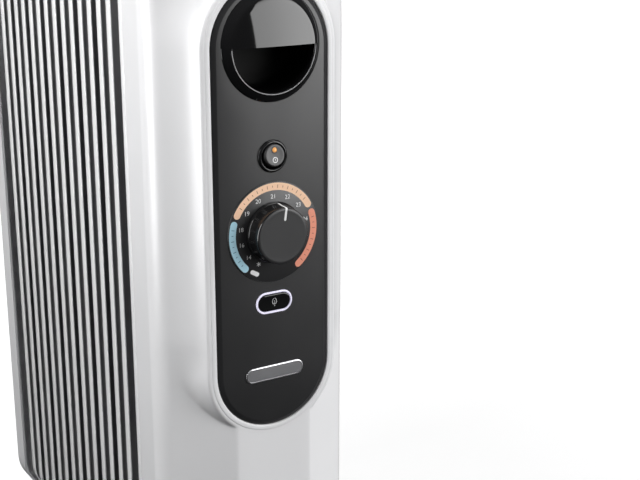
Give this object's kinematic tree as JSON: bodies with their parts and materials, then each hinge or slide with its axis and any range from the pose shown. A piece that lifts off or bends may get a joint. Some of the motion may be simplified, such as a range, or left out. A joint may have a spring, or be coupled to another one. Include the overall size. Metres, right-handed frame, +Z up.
{
  "type": "oil filled radiator heater",
  "caption": "Free-standing oil filled radiator: finned steel tank, faceted white end cover with a black pill console, knob, rocker, push button and castors.",
  "frame": {"origin": "centre of the bounding box's base, on the floor under the heater", "axes": "+Z up, the console end faces -Y, +X to the right seen from the console end"},
  "size_m": [0.252, 0.4186, 0.64],
  "materials": {
    "white_plastic": "satin gloss moulded shell",
    "white_enamel": "gloss white powder coat",
    "grey_enamel": "dark grey powder coat",
    "console_black": "fine satin texture",
    "gloss_black": "polished black",
    "dark_plastic": "moulded, light grain",
    "black_rubber": "matte",
    "badge_metal": "fine brushed",
    "amber_lens": "translucent lamp lens",
    "white_mark": "printed white",
    "lit_ring": "translucent, lit",
    "board_green": "board laminate",
    "zinc_steel": "zinc plated",
    "brass_parts": "bright",
    "wheel_tread": "grey nylon tread"
  },
  "bodies": {
    "root": {"front_cover": "white_plastic", "cover_back_frame": "white_plastic", "cord_gland": "black_rubber", "console_plate": "console_black", "console_carrier": "white_plastic", "handle_cup": "gloss_black", "handle_hood": "gloss_black", "switch_housing": "gloss_black", "switch_terminals": "brass_parts", "scale_disc": "console_black", "thermostat_body": "dark_plastic", "thermostat_nut": "zinc_steel", "button_light_ring": "lit_ring", "push_switch": "dark_plastic", "badge_plate": "badge_metal", "control_board": "board_green", "board_parts": "dark_plastic", "thermal_cutout": "zinc_steel", "rear_hub_caps": "white_enamel", "oil_filler_plug": "zinc_steel", "flange_gasket": "black_rubber", "heating_flange": "zinc_steel", "heating_rods": "zinc_steel", "rod_terminals": "brass_parts", "heat_shield": "zinc_steel", "front_studs": "zinc_steel", "rear_studs": "zinc_steel", "cover_screws": "zinc_steel", "rear_cover": "white_plastic", "front_foot_bracket": "grey_enamel", "rear_foot_bracket": "grey_enamel", "u_bolts": "zinc_steel", "wing_nuts": "zinc_steel", "fin_1": "white_enamel", "fin_2": "white_enamel", "fin_3": "white_enamel", "fin_4": "white_enamel", "fin_5": "white_enamel", "fin_6": "white_enamel", "fin_7": "white_enamel"},
    "knob": {"thermostat_knob": "console_black", "knob_pointer": "white_mark", "thermostat_spindle": "zinc_steel"},
    "rocker": {"rocker_cap": "console_black", "rocker_lens": "amber_lens"},
    "button": {"push_button": "gloss_black"},
    "castor_1": {"castor_hood_1": "dark_plastic"},
    "wheels_1": {"castor_axle_1": "zinc_steel", "castor_wheels_1": "wheel_tread"},
    "castor_2": {"castor_hood_2": "dark_plastic"},
    "wheels_2": {"castor_axle_2": "zinc_steel", "castor_wheels_2": "wheel_tread"},
    "castor_3": {"castor_hood_3": "dark_plastic"},
    "wheels_3": {"castor_axle_3": "zinc_steel", "castor_wheels_3": "wheel_tread"},
    "castor_4": {"castor_hood_4": "dark_plastic"},
    "wheels_4": {"castor_axle_4": "zinc_steel", "castor_wheels_4": "wheel_tread"}
  },
  "joints": [
    {"name": "thermostat_knob_turn", "type": "hinge", "parent": "root", "child": "knob", "pos_m": [0, -0.20275, 0.4313], "axis": [0, 1, 0], "range_deg": [-158, 132]},
    {"name": "power_rocker_tilt", "type": "hinge", "parent": "root", "child": "rocker", "pos_m": [0, -0.18975, 0.4883], "axis": [1, 0, 0], "range_deg": [0, 16]},
    {"name": "push_button_travel", "type": "slide", "parent": "root", "child": "button", "axis": [0, 1, 0], "range_m": [0, 0.001], "stiffness_N_per_m": 300},
    {"name": "castor_swivel_1", "type": "hinge", "parent": "root", "child": "castor_1", "pos_m": [-0.106, -0.05745, 0.068], "axis": [0, 0, 1], "continuous": true},
    {"name": "castor_roll_1", "type": "hinge", "parent": "castor_1", "child": "wheels_1", "pos_m": [-0.106, -0.04345, 0.022], "axis": [1, 0, 0], "continuous": true},
    {"name": "castor_swivel_2", "type": "hinge", "parent": "root", "child": "castor_2", "pos_m": [0.106, -0.05745, 0.068], "axis": [0, 0, 1], "continuous": true},
    {"name": "castor_roll_2", "type": "hinge", "parent": "castor_2", "child": "wheels_2", "pos_m": [0.106, -0.04345, 0.022], "axis": [1, 0, 0], "continuous": true},
    {"name": "castor_swivel_3", "type": "hinge", "parent": "root", "child": "castor_3", "pos_m": [-0.106, 0.13255, 0.068], "axis": [0, 0, 1], "continuous": true},
    {"name": "castor_roll_3", "type": "hinge", "parent": "castor_3", "child": "wheels_3", "pos_m": [-0.106, 0.14655, 0.022], "axis": [1, 0, 0], "continuous": true},
    {"name": "castor_swivel_4", "type": "hinge", "parent": "root", "child": "castor_4", "pos_m": [0.106, 0.13255, 0.068], "axis": [0, 0, 1], "continuous": true},
    {"name": "castor_roll_4", "type": "hinge", "parent": "castor_4", "child": "wheels_4", "pos_m": [0.106, 0.14655, 0.022], "axis": [1, 0, 0], "continuous": true}
  ]
}
